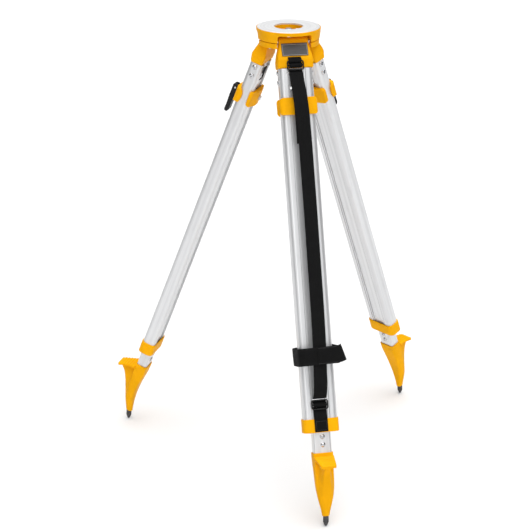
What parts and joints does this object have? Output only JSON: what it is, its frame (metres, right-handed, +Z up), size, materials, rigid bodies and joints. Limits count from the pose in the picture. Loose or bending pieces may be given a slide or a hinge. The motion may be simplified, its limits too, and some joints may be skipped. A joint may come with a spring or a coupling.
{
  "type": "surveyor tripod",
  "caption": "Aluminium contractor's tripod for a levelling instrument: flat yellow head with a hanging fixing screw, telescopic cam-clamped legs, pointed feet and a shoulder strap.",
  "frame": {"origin": "the middle of the bounding box, on the floor that the feet stand on", "axes": "+Z up, through the head; -Y towards the leg that carries the strap; +X to the right of that leg seen from the front"},
  "size_m": [0.7374, 0.6394, 0.9999],
  "materials": {
    "yellow_paint": "glossy yellow powder coat on cast aluminium",
    "machined_aluminium": "fine turned face",
    "anodised_aluminium": "satin anodised extrusion",
    "bright_steel": "zinc plated",
    "black_steel": "blackened, worn at the point",
    "black_plastic": "moulded, satin",
    "label_grey": "plain printed plate with no text",
    "black_webbing": "woven polypropylene webbing"
  },
  "bodies": {
    "head": {"head_casting": "yellow_paint", "head_plate": "machined_aluminium", "back_bearing_cap": "yellow_paint", "left_bearing_cap": "yellow_paint", "right_bearing_cap": "yellow_paint", "back_cap_bolt": "bright_steel", "left_cap_bolt": "bright_steel", "right_cap_bolt": "bright_steel", "front_hinge_pin": "bright_steel", "right_hinge_pin": "bright_steel", "left_hinge_pin": "bright_steel"},
    "arm": {"swing_arm": "yellow_paint"},
    "screw_carrier": {"screw_washer": "black_plastic"},
    "screw": {"centre_screw": "bright_steel", "screw_knob": "black_plastic", "plumb_hook": "bright_steel"},
    "front_upper_leg": {"front_leg_cap": "yellow_paint", "front_rail_1": "anodised_aluminium", "front_rail_2": "anodised_aluminium", "front_collar": "yellow_paint", "label_panel": "label_grey", "strap_anchor": "black_webbing", "top_buckle": "black_plastic", "lower_buckle": "black_plastic", "strap_lower": "black_webbing", "tie_band": "black_webbing"},
    "front_lower_leg": {"front_lower_leg": "anodised_aluminium", "front_clamp_outer": "yellow_paint", "front_clamp_inner": "yellow_paint", "front_clamp_bolt": "bright_steel", "front_lever_pin": "bright_steel", "front_shoe": "yellow_paint", "front_spike": "black_steel"},
    "front_clamp_lever": {"front_lever": "black_plastic"},
    "right_upper_leg": {"right_leg_cap": "yellow_paint", "right_rail_1": "anodised_aluminium", "right_rail_2": "anodised_aluminium", "right_collar": "yellow_paint"},
    "right_lower_leg": {"right_lower_leg": "anodised_aluminium", "right_clamp_outer": "yellow_paint", "right_clamp_inner": "yellow_paint", "right_clamp_bolt": "bright_steel", "right_lever_pin": "bright_steel", "right_shoe": "yellow_paint", "right_spike": "black_steel"},
    "right_clamp_lever": {"right_lever": "black_plastic"},
    "left_upper_leg": {"left_leg_cap": "yellow_paint", "left_rail_1": "anodised_aluminium", "left_rail_2": "anodised_aluminium", "left_collar": "yellow_paint", "leg_clip": "black_plastic"},
    "left_lower_leg": {"left_lower_leg": "anodised_aluminium", "left_clamp_outer": "yellow_paint", "left_clamp_inner": "yellow_paint", "left_clamp_bolt": "bright_steel", "left_lever_pin": "bright_steel", "left_shoe": "yellow_paint", "left_spike": "black_steel"},
    "left_clamp_lever": {"left_lever": "black_plastic"},
    "strap": {"strap_run": "black_webbing"}
  },
  "joints": [
    {"name": "arm_swing", "type": "hinge", "parent": "head", "child": "arm", "pos_m": [0, 0.14985, 0.9604], "axis": [0, 0, 1], "range_deg": [-12, 12]},
    {"name": "screw_lift", "type": "slide", "parent": "arm", "child": "screw_carrier", "axis": [0, 0, 1], "range_m": [0, 0.018]},
    {"name": "screw_spin", "type": "hinge", "parent": "screw_carrier", "child": "screw", "pos_m": [0, 0.09685, 0.93], "axis": [0, 0, 1], "continuous": true},
    {"name": "front_leg_spread", "type": "hinge", "parent": "head", "child": "front_upper_leg", "pos_m": [0, 0.0571, 0.97488], "axis": [-1, 0, 0], "range_deg": [-17.5, 14]},
    {"name": "front_leg_extend", "type": "slide", "parent": "front_upper_leg", "child": "front_lower_leg", "axis": [0, -0.3584, -0.9336], "range_m": [0, 0.45]},
    {"name": "front_clamp_open", "type": "hinge", "parent": "front_lower_leg", "child": "front_clamp_lever", "pos_m": [0, -0.02174, 0.85599], "axis": [-1, 0, 0], "range_deg": [0, 100]},
    {"name": "right_leg_spread", "type": "hinge", "parent": "head", "child": "right_upper_leg", "pos_m": [0.03442, 0.11672, 0.97488], "axis": [0.5, -0.866, 0], "range_deg": [-17.5, 14]},
    {"name": "right_leg_extend", "type": "slide", "parent": "right_upper_leg", "child": "right_lower_leg", "axis": [0.3104, 0.1792, -0.9336], "range_m": [0, 0.45]},
    {"name": "right_clamp_open", "type": "hinge", "parent": "right_lower_leg", "child": "right_clamp_lever", "pos_m": [0.1027, 0.15614, 0.85599], "axis": [0.5, -0.866, 0], "range_deg": [0, 100]},
    {"name": "left_leg_spread", "type": "hinge", "parent": "head", "child": "left_upper_leg", "pos_m": [-0.03442, 0.11672, 0.97488], "axis": [0.5, 0.866, 0], "range_deg": [-17.5, 14]},
    {"name": "left_leg_extend", "type": "slide", "parent": "left_upper_leg", "child": "left_lower_leg", "axis": [-0.3104, 0.1792, -0.9336], "range_m": [0, 0.45]},
    {"name": "left_clamp_open", "type": "hinge", "parent": "left_lower_leg", "child": "left_clamp_lever", "pos_m": [-0.1027, 0.15614, 0.85599], "axis": [0.5, 0.866, 0], "range_deg": [0, 100]},
    {"name": "strap_aside", "type": "slide", "parent": "front_upper_leg", "child": "strap", "axis": [1, 0, 0], "range_m": [0, 0.034], "deforming": ["strap_run"]}
  ],
  "couplings": [
    {"joint": "strap_aside", "follows": "front_clamp_open", "m_per_rad": 0.0194}
  ]
}
